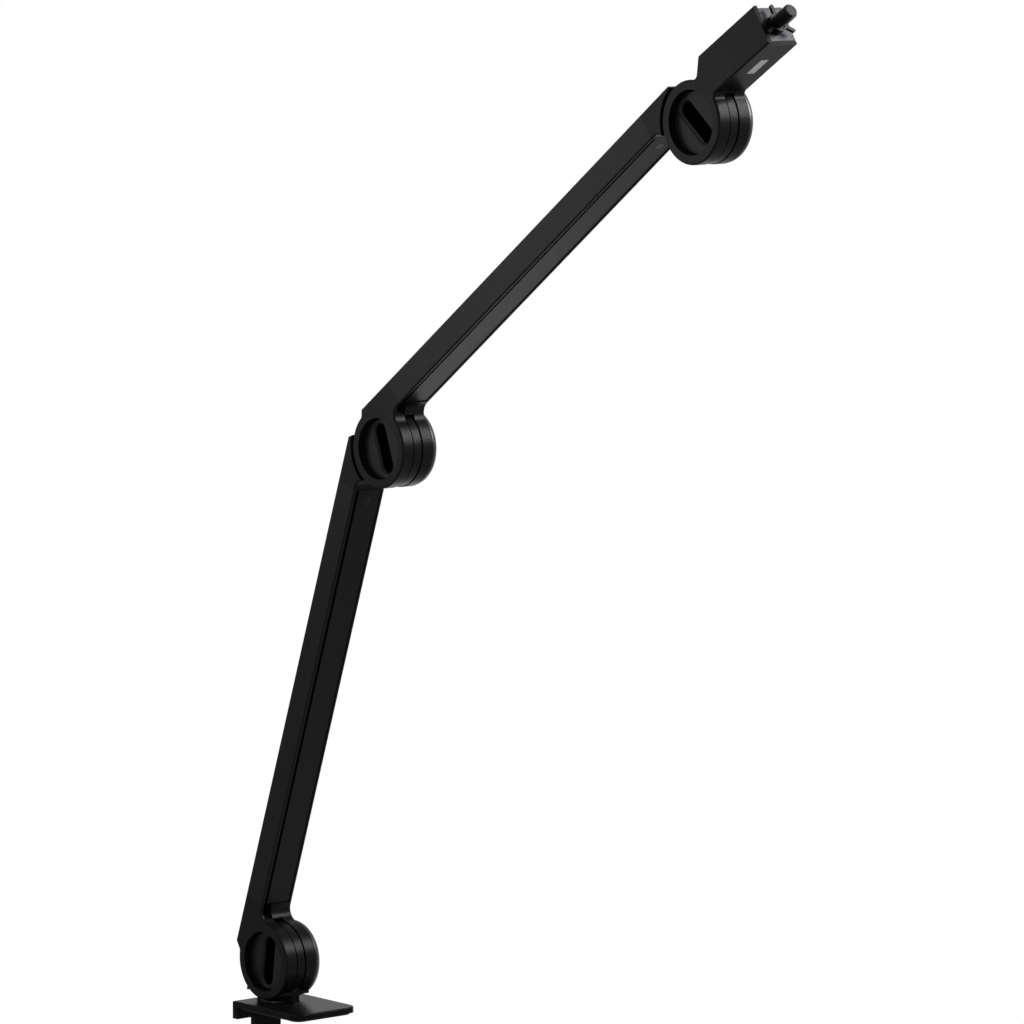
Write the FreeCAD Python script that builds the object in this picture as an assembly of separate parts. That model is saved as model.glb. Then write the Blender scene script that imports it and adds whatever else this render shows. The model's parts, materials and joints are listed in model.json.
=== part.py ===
import FreeCAD, Part
import math
import os

# Microphone boom arm on a desk clamp. All lengths are in millimetres.
# The origin lies on the swivel axis, in the plane where the clamp sits on the desk.
# +Z is up, +X is the way the arm leans, and the three hinge axes run along Y.
# Each arm is drawn in a frame of its own: its lower hinge at the origin, Z along the arm and
# X towards its underside. It is then tilted about Y and moved to its hinge.

# Pose of the arm
lower_tilt = 19.2
upper_tilt = 53.6
head_tilt = 57.3
shoulder_slot_turn = -78.5
elbow_slot_turn = -17.0
wrist_slot_turn = 18.0

# Fits
running_clearance = 0.05
seat_clearance = 0.1
axial_gap = 0.1
bay_clearance = 2.2
overrun = 2.0
edge_round = 1.2

# Hinge stack, the same in all three hinges
arm_width = 26.0
disc_radius = 26.3
tongue_thickness = 6.0
tongue_rim_step = 0.4
friction_thickness = 1.0
friction_rim_inset = 5.9
pivot_radius = 4.0
bush_wall = 2.0

# Tension knob, its bolt and the lock nut
knob_ring_width = 6.0
knob_side_gap = 0.4
knob_recess_depth = 7.4
knob_ledge = 3.6
knob_drop = 4.6
knob_edge_round = 0.8
slot_end_margin = 0.3
slot_width = 9.5
slot_floor_thickness = 0.8
slot_lip_share = 0.75
boss_radius = 9.0
boss_floor = 3.4
bolt_head_flats = 13.0
bolt_head_height = 2.4
nut_flats = 13.0
nut_height = 6.5
nut_floor = 5.6
bolt_tip_length = 0.6

# Domed cap over the lock nut
cap_room = 0.2
cap_wall = 1.5
cap_rim_inset = 0.4
cap_spigot_step = 0.8
cap_spigot_wall = 1.6
cap_spigot_depth = 2.0

# Arms
lower_reach = 380.0
upper_reach = 380.0
lower_axis_offset = 22.4
upper_axis_offset = 21.2
arm_depth = 18.0
seam_margin = 2.0
fork_heel = 0.5
tongue_heel = 5.0
heel_slope = 40.0
heel_fillet = 3.0
web_fillet = 8.0
tube_wall = 2.0
plug_length = 24.0

# Cable channel and cover strip
cable_slot = 2.8
cable_bay = 7.0
cable_notch_length = 9.0
cable_notch_depth = 8.0
cover_thickness = 2.4
cover_recess = 0.6
cover_end_gap = 0.8
cover_leg_depth = 3.6
cover_leg_thickness = 1.4
ledge_width = 1.4
ledge_thickness = 1.6

# Arm screws
tube_screw_radius = 2.0
tube_screw_head_radius = 3.8
tube_screw_length = 9.0
tube_screw_share = 0.5
cover_screw_radius = 1.5
cover_screw_head_radius = 2.8
cover_screw_length = 8.0
cover_screw_inset = 10.0
screw_head_cone_share = 0.55

# Head
head_length = 83.8
head_back = 31.0
head_depth = 26.5
head_heel = 27.4
head_heel_fillet = 4.0
head_fillet = 4.0
end_plate_thickness = 2.0
end_plate_lip = 3.0
head_cheek_rise = 3.0
head_cheek_width = 3.0
inlay_length = 16.0
inlay_width = 6.2
inlay_thickness = 0.8
inlay_inset = 15.5

# Microphone stud and its three-armed lock nut
stud_radius = 4.76
stud_length = 19.0
stud_root = 20.0
stud_neck_radius = 3.8
stud_neck_start = 5.2
stud_neck_length = 3.4
stud_tip_chamfer = 1.0
star_hub_radius = 6.2
star_hub_height = 5.0
star_arm_reach = 12.6
star_arm_width = 2.4
star_arm_thickness = 1.8
star_arm_count = 3
star_turn = 59.0

# Base plate, pedestal and swivel
jaw_pad_thickness = 1.5
jaw_pad_inset = 3.0
plate_thickness = 4.0
plate_width = 53.0
plate_front = 54.0
plate_rear = 16.0
plate_front_round = 8.0
plate_edge_round = 1.0
disc_plate_gap = 1.2
pedestal_length = 39.0
pedestal_corner = 3.0
pedestal_clearance = 1.0
pedestal_wing_lift = 6.0
pedestal_wing_rise = 5.0
swivel_washer_thickness = 0.6
swivel_washer_radius = 11.0
swivel_spindle_radius = 6.0
swivel_screw_radius = 2.0
swivel_head_radius = 8.0
swivel_head_height = 2.0
swivel_thread_depth = 13.0

# Desk clamp
spine_thickness = 5.0
spine_width = 22.0
lip_drop = 6.5
jaw_opening = 64.0
jaw_thickness = 8.0
jaw_reach = 24.0
jaw_nose_round = 10.0
clamp_screw_place = 9.0
clamp_screw_radius = 5.0
clamp_gap = 40.0
clamp_travel = 35.0
clamp_nut_radius = 8.0
clamp_nut_flange_radius = 10.5
clamp_nut_flange = 2.0
pressure_pad_radius = 16.0
pressure_pad_thickness = 6.0
pad_rubber_thickness = 2.0
pad_rubber_inset = 1.0
screw_tip_radius = 3.5
screw_tip_length = 4.0
hand_knob_radius = 16.0
hand_knob_height = 16.0
hand_knob_lobes = 6
hand_knob_flute_radius = 5.0
hand_knob_clearance = 2.0

# Places worked out from the sizes above
half_width = arm_width / 2
tongue_half = tongue_thickness / 2
cheek_inner = tongue_half + friction_thickness + axial_gap
bay_radius = disc_radius + bay_clearance
tongue_radius = disc_radius - tongue_rim_step
friction_radius = tongue_radius - friction_rim_inset
bush_radius = boss_radius + bush_wall
knob_seat = half_width - knob_recess_depth
knob_foot = knob_seat + axial_gap
knob_face = half_width - knob_drop
knob_recess_radius = disc_radius - knob_ring_width
knob_radius = knob_recess_radius - knob_side_gap
knob_step_radius = knob_recess_radius - knob_ledge
boss_end = cheek_inner - axial_gap
bolt_bearing = boss_end - boss_floor
bolt_head_top = bolt_bearing - bolt_head_height
slot_floor = cheek_inner + slot_floor_thickness
slot_lip = (knob_face - slot_floor) * slot_lip_share
slot_half = slot_width / 2
slot_reach = knob_radius - knob_edge_round - slot_end_margin - slot_lip
nut_seat = cheek_inner + nut_floor
bolt_tip = nut_seat + nut_height + bolt_tip_length
cap_radius = disc_radius - cap_rim_inset
cap_height = bolt_tip + cap_room + cap_wall - half_width
cap_spigot_radius = cap_radius - cap_wall - cap_spigot_step
inner_half = half_width - tube_wall
plug_near = cable_bay - inner_half
plug_far = inner_half - ledge_width - seat_clearance
cover_near = cable_slot - inner_half
cover_far = inner_half - seat_clearance
cover_middle = (cover_near + cover_far) / 2
plate_top = jaw_pad_thickness + plate_thickness
shoulder_height = plate_top + disc_plate_gap + disc_radius
pedestal_foot = plate_top + swivel_washer_thickness + axial_gap
swivel_head_foot = jaw_pad_thickness + seat_clearance
swivel_head_top = swivel_head_foot + swivel_head_height
spine_inner = spine_thickness - plate_rear
jaw_floor = jaw_opening + jaw_thickness

X_AXIS = FreeCAD.Vector(1, 0, 0)
Y_AXIS = FreeCAD.Vector(0, 1, 0)
Z_AXIS = FreeCAD.Vector(0, 0, 1)
ORIGIN = FreeCAD.Vector(0, 0, 0)
HEEL_RUN = FreeCAD.Vector(math.cos(math.radians(heel_slope)), 0, -math.sin(math.radians(heel_slope)))
HEEL_OUT = FreeCAD.Vector(-math.sin(math.radians(heel_slope)), 0, -math.cos(math.radians(heel_slope)))


def spot(x, z, y=0):
    """Point in the plane of the arm, at a distance y to its far side."""
    return FreeCAD.Vector(x, y, z)


def block(low, high):
    """Box between two corners."""
    size = high - low
    return Part.makeBox(size.x, size.y, size.z, low)


def barrel(radius, start, end):
    """Cylinder on the hinge axis between two places along Y."""
    return Part.makeCylinder(radius, end - start, Y_AXIS * end, -Y_AXIS)


def post(radius, start, end, x=0):
    """Upright cylinder between two heights."""
    return Part.makeCylinder(radius, end - start, FreeCAD.Vector(x, 0, start), Z_AXIS)


def hexagon(flats, start, end):
    """Hexagonal prism on the hinge axis between two places along Y."""
    corner = flats / math.sqrt(3)
    turns = [math.radians(60 * k) for k in range(7)]
    points = [spot(corner * math.cos(t), corner * math.sin(t), start) for t in turns]
    return Part.Face(Part.makePolygon(points)).extrude(Y_AXIS * (end - start))


def spun(edges, axis):
    """Solid of revolution from the edges of a closed half section."""
    return Part.Face(Part.Wire(edges)).revolve(ORIGIN, axis, 360)


def line(start, end):
    """Straight edge between two points."""
    return Part.LineSegment(start, end).toShape()


def arc(start, middle, end):
    """Circular edge through three points."""
    return Part.Arc(start, middle, end).toShape()


def across(face, half):
    """Solid of a face in the arm's plane, spread evenly to both sides of it."""
    lifted = face.copy()
    lifted.translate(Y_AXIS * -half)
    return lifted.extrude(Y_AXIS * (2 * half))


def set_at(shape, tilt, hinge):
    """Copy of a shape drawn about its hinge, tilted and moved to that hinge."""
    placed = shape.copy()
    placed.rotate(ORIGIN, Y_AXIS, tilt)
    placed.translate(hinge)
    return placed


def along(tilt, distance):
    """Step of a given length along an arm with a given tilt."""
    turn = math.radians(tilt)
    return FreeCAD.Vector(math.sin(turn), 0, math.cos(turn)) * distance


def side_edges(shape, half, seam):
    """Edges that lie in the two side planes of an arm, without those at its seam."""
    kept = []
    for edge in shape.Edges:
        box = edge.BoundBox
        flat = box.YLength < seat_clearance
        inside = box.ZMin < seam - seat_clearance
        if flat and inside and abs(abs(box.Center.y) - half) < seat_clearance:
            kept.append(edge)
    return kept


def fillet_middle(front, rim, fillet):
    """Middle of the fillet between an arm's underside and the rim of its hinge disc."""
    return spot(front + fillet, math.sqrt((rim + fillet) ** 2 - (front + fillet) ** 2))


def heel_middle(corner, rim, fillet):
    """Middle of the fillet between the slope at an arm's heel and the rim of its hinge disc."""
    start = corner + HEEL_OUT * fillet
    run = start.dot(HEEL_RUN)
    reach = -run - math.sqrt(run ** 2 - start.Length ** 2 + (rim + fillet) ** 2)
    return start + HEEL_RUN * reach


def hollow(middle, start, end):
    """Concave edge from one point to another round a middle."""
    inward = (start - middle).normalize() + (end - middle).normalize()
    return arc(start, middle + inward.normalize() * middle.distanceToPoint(start), end)


def web_face(back, front, seam, heel, heel_hollow, rim, fillet):
    """Outline of a hinge disc and of the web that joins it to its arm.

    back and front are the arm's faces and seam is where the outline ends along the arm. A slope runs in from
    the back corner at heel, and the two fillets lead from it and from the underside to the disc's rim.
    """
    middle = fillet_middle(front, rim, fillet)
    corner = spot(back, heel)
    heel_round = heel_middle(corner, rim, heel_hollow)
    on_slope = heel_round - HEEL_OUT * heel_hollow
    on_heel = heel_round * (rim / (rim + heel_hollow))
    on_disc = middle * (rim / (rim + fillet))
    on_arm = spot(front, middle.z)
    points = [on_arm, spot(front, seam), spot(back, seam), corner, on_slope]
    edges = [line(a, b) for a, b in zip(points[:-1], points[1:])]
    far_side = (on_heel + on_disc).normalize() * -rim
    edges += [hollow(heel_round, on_slope, on_heel), arc(on_heel, far_side, on_disc)]
    edges.append(hollow(middle, on_disc, on_arm))
    return Part.Face(Part.Wire(edges))


def fork(face, seam):
    """Fork end of an arm: two cheeks round a bay, with seats for knob, bolt, nut and cap."""
    whole = across(face, half_width)
    whole = whole.makeFillet(edge_round, side_edges(whole, half_width, seam))
    groove = barrel(cap_spigot_radius + seat_clearance, half_width - cap_spigot_depth - seat_clearance,
                    half_width + overrun)
    groove_inner = cap_spigot_radius - cap_spigot_wall - seat_clearance
    groove = groove.cut(barrel(groove_inner, 0, half_width + overrun))
    cuts = [
        barrel(bay_radius, -cheek_inner, cheek_inner),
        barrel(knob_recess_radius, -half_width - overrun, -knob_seat),
        barrel(knob_step_radius + running_clearance, -half_width, 0),
        barrel(pivot_radius + running_clearance, 0, half_width),
        hexagon(nut_flats + 2 * seat_clearance, nut_seat, half_width + overrun),
        groove,
    ]
    return whole.cut(cuts)


def arm_faces(offset):
    """Places of an arm's back and underside, measured from its hinge axis."""
    return -offset - arm_depth / 2, -offset + arm_depth / 2


def arm_seam(offset):
    """Distance from a hinge to the end of the tube, clear of the fillet there."""
    return fillet_middle(arm_faces(offset)[1], disc_radius, web_fillet).z + seam_margin


def plug(offset, start, end):
    """Block of a casting that reaches into the tube beside the cable."""
    back, front = arm_faces(offset)
    low = FreeCAD.Vector(back + tube_wall + seat_clearance, plug_near, start)
    high = FreeCAD.Vector(front - cover_recess - cover_thickness - seat_clearance, plug_far, end)
    return block(low, high)


def screw_rows(offset, reach):
    """Places of the tube screws along an arm."""
    step = arm_seam(offset) + plug_length * tube_screw_share
    return [step, reach - step]


def back_screw(offset, place, spare):
    """Countersunk screw through the back of the tube into a plug, grown by a spare clearance."""
    back = arm_faces(offset)[0]
    cone_height = tube_screw_head_radius * screw_head_cone_share
    foot = spot(back, place)
    shank_radius = tube_screw_radius + spare
    head = Part.makeCone(tube_screw_head_radius + spare, shank_radius, cone_height, foot, X_AXIS)
    shank = Part.makeCylinder(shank_radius, tube_screw_length + spare, foot, X_AXIS)
    return head.fuse(shank)


def cover_screw(offset, place, spare):
    """Countersunk screw through the cover into the plug under it, grown by a spare clearance."""
    front = arm_faces(offset)[1] - cover_recess
    cone_height = cover_screw_head_radius * screw_head_cone_share
    foot = spot(front, place, cover_middle)
    shank_radius = cover_screw_radius + spare
    head = Part.makeCone(cover_screw_head_radius + spare, shank_radius, cone_height, foot, -X_AXIS)
    shank = Part.makeCylinder(shank_radius, cover_screw_length + spare, foot, -X_AXIS)
    return head.fuse(shank)


def cover_screw_place(offset, reach):
    """Place of the cover screw along an arm."""
    return reach - arm_seam(offset) - cover_screw_inset


def arm_fork(offset, reach):
    """Casting at the lower end of an arm, with the notch where the cable enters."""
    back, front = arm_faces(offset)
    seam = arm_seam(offset)
    face = web_face(back, front, seam, fork_heel, heel_fillet, disc_radius, web_fillet)
    casting = fork(face, seam)
    casting = casting.fuse(plug(offset, seam - tube_wall, seam + plug_length)).removeSplitter()
    notch = block(FreeCAD.Vector(front - cable_notch_depth, -inner_half, seam - cable_notch_length),
                  FreeCAD.Vector(front + web_fillet + overrun, plug_near, seam + overrun))
    return casting.cut([notch, back_screw(offset, screw_rows(offset, reach)[0], seat_clearance)])


def arm_tongue(offset, reach):
    """Casting at the upper end of an arm: hollowed shoulders and the tongue between them."""
    back, front = arm_faces(offset)
    seam = arm_seam(offset)
    wide = web_face(back, front, seam, tongue_heel, heel_fillet, disc_radius, web_fillet)
    shoulders = across(wide, half_width)
    shoulders = shoulders.makeFillet(edge_round, side_edges(shoulders, half_width, seam))
    shoulders = shoulders.cut(barrel(bay_radius, -arm_width, arm_width))
    slim = web_face(back, front, seam, tongue_heel, heel_fillet, tongue_radius, web_fillet)
    casting = shoulders.fuse(across(slim, tongue_half)).removeSplitter()
    casting = casting.cut(barrel(bush_radius + seat_clearance, -arm_width, arm_width))
    casting = casting.mirror(ORIGIN, Z_AXIS)
    casting.translate(Z_AXIS * reach)
    end = reach - seam
    casting = casting.fuse(plug(offset, end - plug_length, end + tube_wall)).removeSplitter()
    return casting.cut([back_screw(offset, screw_rows(offset, reach)[1], seat_clearance),
                        cover_screw(offset, cover_screw_place(offset, reach), seat_clearance)])


def arm_tube(offset, reach):
    """Channel extrusion with a ledge for the cover along its far wall."""
    back, front = arm_faces(offset)
    start = arm_seam(offset)
    end = reach - start
    whole = block(FreeCAD.Vector(back, -half_width, start), FreeCAD.Vector(front, half_width, end))
    long_edges = [edge for edge in whole.Edges if edge.BoundBox.ZLength > plug_length]
    whole = whole.makeFillet(edge_round, long_edges)
    channel = block(FreeCAD.Vector(back + tube_wall, -inner_half, start - overrun),
                    FreeCAD.Vector(front + overrun, inner_half, end + overrun))
    ledge_top = front - cover_recess - cover_thickness - seat_clearance
    ledge = block(FreeCAD.Vector(ledge_top - ledge_thickness, inner_half - ledge_width, start),
                  FreeCAD.Vector(ledge_top, inner_half + edge_round, end))
    tube = whole.cut(channel).fuse(ledge).removeSplitter()
    return tube.cut([back_screw(offset, place, seat_clearance) for place in screw_rows(offset, reach)])


def arm_cover(offset, reach):
    """Cover strip of the cable channel, with a stiffening leg along the cable slot."""
    front = arm_faces(offset)[1] - cover_recess
    start = arm_seam(offset) + cover_end_gap
    end = reach - start
    strip = block(FreeCAD.Vector(front - cover_thickness, cover_near, start),
                  FreeCAD.Vector(front, cover_far, end))
    leg = block(FreeCAD.Vector(front - cover_thickness - cover_leg_depth, cover_near, start + plug_length),
                FreeCAD.Vector(front - cover_thickness, cover_near + cover_leg_thickness, end - plug_length))
    strip = strip.fuse(leg).removeSplitter()
    return strip.cut(cover_screw(offset, cover_screw_place(offset, reach), seat_clearance))


def knob(turn):
    """Round tension knob: a slotted face, a step that turns in the near cheek and a boss for the tongue."""
    body = barrel(knob_radius, -knob_face, -knob_foot)
    rim = [e for e in body.Edges if e.Closed and e.BoundBox.YMax < seat_clearance - knob_face]
    body = body.makeFillet(knob_edge_round, rim)
    step = barrel(knob_step_radius, -knob_foot, -cheek_inner)
    boss = barrel(boss_radius, -cheek_inner, boss_end)
    body = body.fuse([step, boss]).removeSplitter()
    straight = slot_reach - slot_half
    corners = [spot(straight, slot_half), spot(-straight, slot_half)]
    corners += [spot(-straight, -slot_half), spot(straight, -slot_half)]
    edges = [line(corners[0], corners[1]), arc(corners[1], spot(-slot_reach, 0), corners[2])]
    edges += [line(corners[2], corners[3]), arc(corners[3], spot(slot_reach, 0), corners[0])]
    slot = Part.Face(Part.Wire(edges))
    slot.translate(Y_AXIS * -slot_floor)
    body = body.cut(slot.extrude(Y_AXIS * -half_width))
    lips = [e for e in body.Edges if not e.Closed and e.BoundBox.YMax < seat_clearance - knob_face]
    body = body.makeFillet(slot_lip, lips)
    seat = hexagon(bolt_head_flats + 2 * seat_clearance, bolt_head_top - seat_clearance, bolt_bearing)
    bore = barrel(pivot_radius + seat_clearance, bolt_head_top, boss_end + overrun)
    body = body.cut([seat, bore])
    body.rotate(ORIGIN, Y_AXIS, -turn)
    return body


def knob_bolt(turn):
    """Hexagon bolt moulded into the knob, long enough to pass the lock nut."""
    head = hexagon(bolt_head_flats, bolt_head_top, bolt_bearing)
    shank = barrel(pivot_radius, bolt_head_top, bolt_tip)
    bolt = head.fuse(shank).removeSplitter()
    bolt.rotate(ORIGIN, Y_AXIS, -turn)
    return bolt


def lock_nut():
    """Hexagon nut held in the far cheek."""
    nut = hexagon(nut_flats, nut_seat, nut_seat + nut_height)
    return nut.cut(barrel(pivot_radius + running_clearance, 0, nut_seat + nut_height + overrun))


def dome(radius, height):
    """Solid with a quarter-round rim that stands on the far cheek."""
    top = half_width + height
    middle = FreeCAD.Vector(0, half_width, 0)
    rim = FreeCAD.Vector(radius, half_width, 0)
    bend = height * math.cos(math.radians(45))
    on_round = FreeCAD.Vector(radius - height + bend, half_width + bend, 0)
    flat = FreeCAD.Vector(radius - height, top, 0)
    peak = FreeCAD.Vector(0, top, 0)
    return spun([line(middle, rim), arc(rim, on_round, flat), line(flat, peak), line(peak, middle)], Y_AXIS)


def cap():
    """Domed cap that covers the lock nut, with a ring that snaps into the far cheek."""
    outside = dome(cap_radius, cap_height)
    shell = outside.cut(dome(cap_radius - cap_wall, cap_height - cap_wall))
    ring = barrel(cap_spigot_radius, half_width - cap_spigot_depth, half_width + cap_height)
    ring = ring.cut(barrel(cap_spigot_radius - cap_spigot_wall, 0, half_width + cap_height))
    upper_ring = ring.common(outside)
    lower_ring = ring.common(barrel(disc_radius, 0, half_width))
    return shell.fuse([upper_ring, lower_ring]).removeSplitter()


def bush():
    """Bush pressed into a tongue, in which the knob's boss turns."""
    return barrel(bush_radius, -tongue_half, tongue_half).cut(
        barrel(boss_radius + running_clearance, -tongue_thickness, tongue_thickness))


def friction_discs():
    """Pair of friction discs that lie on the two faces of a tongue."""
    hole = barrel(bush_radius, -arm_width, arm_width)
    far = barrel(friction_radius, tongue_half, tongue_half + friction_thickness).cut(hole)
    near = barrel(friction_radius, -tongue_half - friction_thickness, -tongue_half).cut(hole)
    return Part.makeCompound([near, far])


def head_faces():
    """Places of the head's back and underside, and of the middle of its depth."""
    front = head_depth - head_back
    return -head_back, front, (front - head_back) / 2


def head_body():
    """Head casting: a fork at the wrist and a block with seats for the end plate and the stud.

    On the near side a cheek stands up past the plate.
    """
    back, front, middle = head_faces()
    end = head_length - end_plate_thickness
    crest = head_length + head_cheek_rise
    cheek = head_cheek_width - half_width
    face = web_face(back, front, crest, head_heel, head_heel_fillet, disc_radius, head_fillet)
    casting = fork(face, crest)
    plate_seat = block(FreeCAD.Vector(back - overrun, cheek, end),
                       FreeCAD.Vector(front - end_plate_lip, arm_width, head_length + overrun))
    above = block(FreeCAD.Vector(back - overrun, cheek, head_length),
                  FreeCAD.Vector(front + overrun, arm_width, crest + overrun))
    bore = post(stud_radius + seat_clearance, end - stud_root, end + overrun, middle)
    return casting.cut([plate_seat.fuse(above), bore, inlay(seat_clearance)])


def inlay(spare):
    """Plain plate let into the head's underside, grown by a spare clearance."""
    front = head_faces()[1]
    end = head_length - end_plate_thickness - inlay_inset
    half = inlay_width / 2 + spare
    return block(FreeCAD.Vector(front - inlay_thickness - spare, -half, end - inlay_length - spare),
                 FreeCAD.Vector(front, half, end + spare))


def end_plate():
    """Bright plate on the end of the head, between the cheek and the lip of the casting."""
    back, front, middle = head_faces()
    near = head_cheek_width - half_width + seat_clearance
    low = FreeCAD.Vector(back, near, head_length - end_plate_thickness)
    high = FreeCAD.Vector(front - end_plate_lip - seat_clearance, half_width, head_length)
    plate = block(low, high)
    upright = [e for e in plate.Edges if e.BoundBox.ZLength > seat_clearance and e.BoundBox.XMax < middle]
    plate = plate.makeFillet(edge_round, [e for e in upright if e.BoundBox.YMin > 0])
    return plate.cut(post(stud_radius + seat_clearance, 0, head_length + overrun, middle))


def mic_stud():
    """Threaded stud with a neck between its root and its thread."""
    middle = head_faces()[2]
    root = head_length - end_plate_thickness - stud_root
    neck = head_length + stud_neck_start
    thread = neck + stud_neck_length
    tip = head_length + stud_length
    stud = post(stud_radius, root, neck, middle)
    stud = stud.fuse(post(stud_neck_radius, neck, thread, middle))
    stud = stud.fuse(post(stud_radius, thread, tip - stud_tip_chamfer, middle))
    cone = Part.makeCone(stud_radius, stud_radius - stud_tip_chamfer, stud_tip_chamfer,
                         spot(middle, tip - stud_tip_chamfer), Z_AXIS)
    return stud.fuse(cone).removeSplitter()


def star_nut():
    """Lock nut on the stud, with thin arms round the top of a hub."""
    middle = head_faces()[2]
    foot = head_length + axial_gap
    top = foot + star_hub_height
    nut = post(star_hub_radius, foot, top)
    half = star_arm_width / 2
    arm_end = star_arm_reach - half
    arm_foot = top - star_arm_thickness
    for k in range(star_arm_count):
        arm = block(FreeCAD.Vector(0, -half, arm_foot), FreeCAD.Vector(arm_end, half, top))
        arm = arm.fuse(post(half, arm_foot, top, arm_end))
        arm.rotate(ORIGIN, Z_AXIS, star_turn + k * 360 / star_arm_count)
        nut = nut.fuse(arm)
    bore = post(stud_radius + running_clearance, 0, top + overrun)
    nut = nut.cut(bore).removeSplitter()
    nut.translate(X_AXIS * middle)
    return nut


def pedestal():
    """Swivelling pedestal: the shoulder's tongue, a neck with low wings and a spindle in the plate."""
    half = pedestal_length / 2
    wing_foot = plate_top + pedestal_wing_lift
    wings = block(FreeCAD.Vector(-half, -half_width, wing_foot),
                  FreeCAD.Vector(half, half_width, wing_foot + pedestal_wing_rise))
    upright = [e for e in wings.Edges if e.BoundBox.ZLength > seat_clearance]
    wings = wings.makeFillet(pedestal_corner, upright)
    bay = barrel(disc_radius + pedestal_clearance, -arm_width, arm_width)
    bay.translate(Z_AXIS * shoulder_height)
    tongue = barrel(tongue_radius, -tongue_half, tongue_half)
    tongue.translate(Z_AXIS * shoulder_height)
    neck = block(FreeCAD.Vector(-half, -tongue_half, pedestal_foot),
                 FreeCAD.Vector(half, tongue_half, shoulder_height))
    spindle = post(swivel_spindle_radius, swivel_head_top, pedestal_foot)
    bush_bore = barrel(bush_radius + seat_clearance, -arm_width, arm_width)
    bush_bore.translate(Z_AXIS * shoulder_height)
    thread_end = pedestal_foot + swivel_thread_depth + seat_clearance
    thread = post(swivel_screw_radius + seat_clearance, 0, thread_end)
    whole = wings.cut(bay).fuse([tongue, neck, spindle]).removeSplitter()
    return whole.cut([bush_bore, thread])


def swivel_screw():
    """Screw with a wide head that holds the pedestal's spindle in the plate and turns with it."""
    head = post(swivel_head_radius, swivel_head_foot, swivel_head_top)
    shank = post(swivel_screw_radius, swivel_head_foot, pedestal_foot + swivel_thread_depth)
    return head.fuse(shank).removeSplitter()


def swivel_washer():
    """Low-friction washer between plate and pedestal."""
    washer = post(swivel_washer_radius, plate_top, plate_top + swivel_washer_thickness)
    return washer.cut(post(swivel_spindle_radius + running_clearance, 0, shoulder_height))


def clamp_frame():
    """Clamp frame: base plate, rear lip, spine and lower jaw in one piece."""
    half = plate_width / 2
    plate = block(FreeCAD.Vector(-plate_rear, -half, jaw_pad_thickness),
                  FreeCAD.Vector(plate_front, half, plate_top))
    front_edges = [e for e in plate.Edges if e.BoundBox.ZLength > seat_clearance and e.BoundBox.Center.x > 0]
    plate = plate.makeFillet(plate_front_round, front_edges)
    lip = block(FreeCAD.Vector(-plate_rear, -half, -lip_drop), FreeCAD.Vector(spine_inner, half, plate_top))
    top = plate.fuse(lip).removeSplitter()
    top_edges = [e for e in top.Edges if e.BoundBox.ZMin > plate_top - seat_clearance]
    top = top.makeFillet(plate_edge_round, top_edges)
    spine_half = spine_width / 2
    jaw_corner = FreeCAD.Vector(-plate_rear, -spine_half, -jaw_floor)
    spine = block(jaw_corner, FreeCAD.Vector(spine_inner, spine_half, 0))
    jaw = block(jaw_corner, FreeCAD.Vector(jaw_reach, spine_half, -jaw_opening))
    nose = [e for e in jaw.Edges if e.BoundBox.ZLength > seat_clearance and e.BoundBox.Center.x > 0]
    jaw = jaw.makeFillet(jaw_nose_round, nose)
    nut_seat_radius = clamp_nut_radius + seat_clearance
    cuts = [
        post(swivel_spindle_radius + running_clearance, 0, plate_top + overrun),
        post(swivel_head_radius + bay_clearance, 0, swivel_head_top + axial_gap),
        post(nut_seat_radius, -jaw_floor - overrun, -jaw_opening + overrun, clamp_screw_place),
    ]
    return top.fuse([spine, jaw]).removeSplitter().cut(cuts)


def jaw_pad():
    """Rubber pad under the base plate, which covers the swivel screw."""
    half = plate_width / 2 - jaw_pad_inset
    pad = block(FreeCAD.Vector(spine_inner + seat_clearance, -half, 0),
                FreeCAD.Vector(plate_front - jaw_pad_inset, half, jaw_pad_thickness))
    front_edges = [e for e in pad.Edges if e.BoundBox.ZLength > seat_clearance and e.BoundBox.Center.x > 0]
    return pad.makeFillet(plate_front_round - jaw_pad_inset, front_edges)


def clamp_nut():
    """Flanged nut in the lower jaw."""
    nut = post(clamp_nut_radius, -jaw_floor, -jaw_opening, clamp_screw_place)
    flange = post(clamp_nut_flange_radius, -jaw_floor - clamp_nut_flange, -jaw_floor, clamp_screw_place)
    bore = post(clamp_screw_radius + running_clearance, -2 * jaw_floor, 0, clamp_screw_place)
    return nut.fuse(flange).removeSplitter().cut(bore)


def clamp_heights():
    """Heights of the rubber's face, the pressure pad's top and foot, and the hand knob's top."""
    pad_top = -clamp_gap - pad_rubber_thickness
    pad_foot = pad_top - pressure_pad_thickness
    knob_top = -jaw_floor - clamp_nut_flange - clamp_travel - hand_knob_clearance
    return -clamp_gap, pad_top, pad_foot, knob_top


def clamp_screw():
    """Clamp screw with a turned-down tip that seats in the pressure pad."""
    pad_foot, knob_top = clamp_heights()[2:]
    shank = post(clamp_screw_radius, knob_top - hand_knob_height / 2, pad_foot, clamp_screw_place)
    tip = post(screw_tip_radius, pad_foot, pad_foot + screw_tip_length, clamp_screw_place)
    return shank.fuse(tip).removeSplitter()


def pressure_pad():
    """Pressure pad on the tip of the clamp screw."""
    pad_top, pad_foot = clamp_heights()[1:3]
    pad = post(pressure_pad_radius, pad_foot, pad_top, clamp_screw_place)
    socket_end = pad_foot + screw_tip_length + seat_clearance
    socket = post(screw_tip_radius + seat_clearance, pad_foot - overrun, socket_end, clamp_screw_place)
    return pad.cut(socket)


def pad_rubber():
    """Rubber face of the pressure pad."""
    face, pad_top = clamp_heights()[:2]
    return post(pressure_pad_radius - pad_rubber_inset, pad_top, face, clamp_screw_place)


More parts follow.
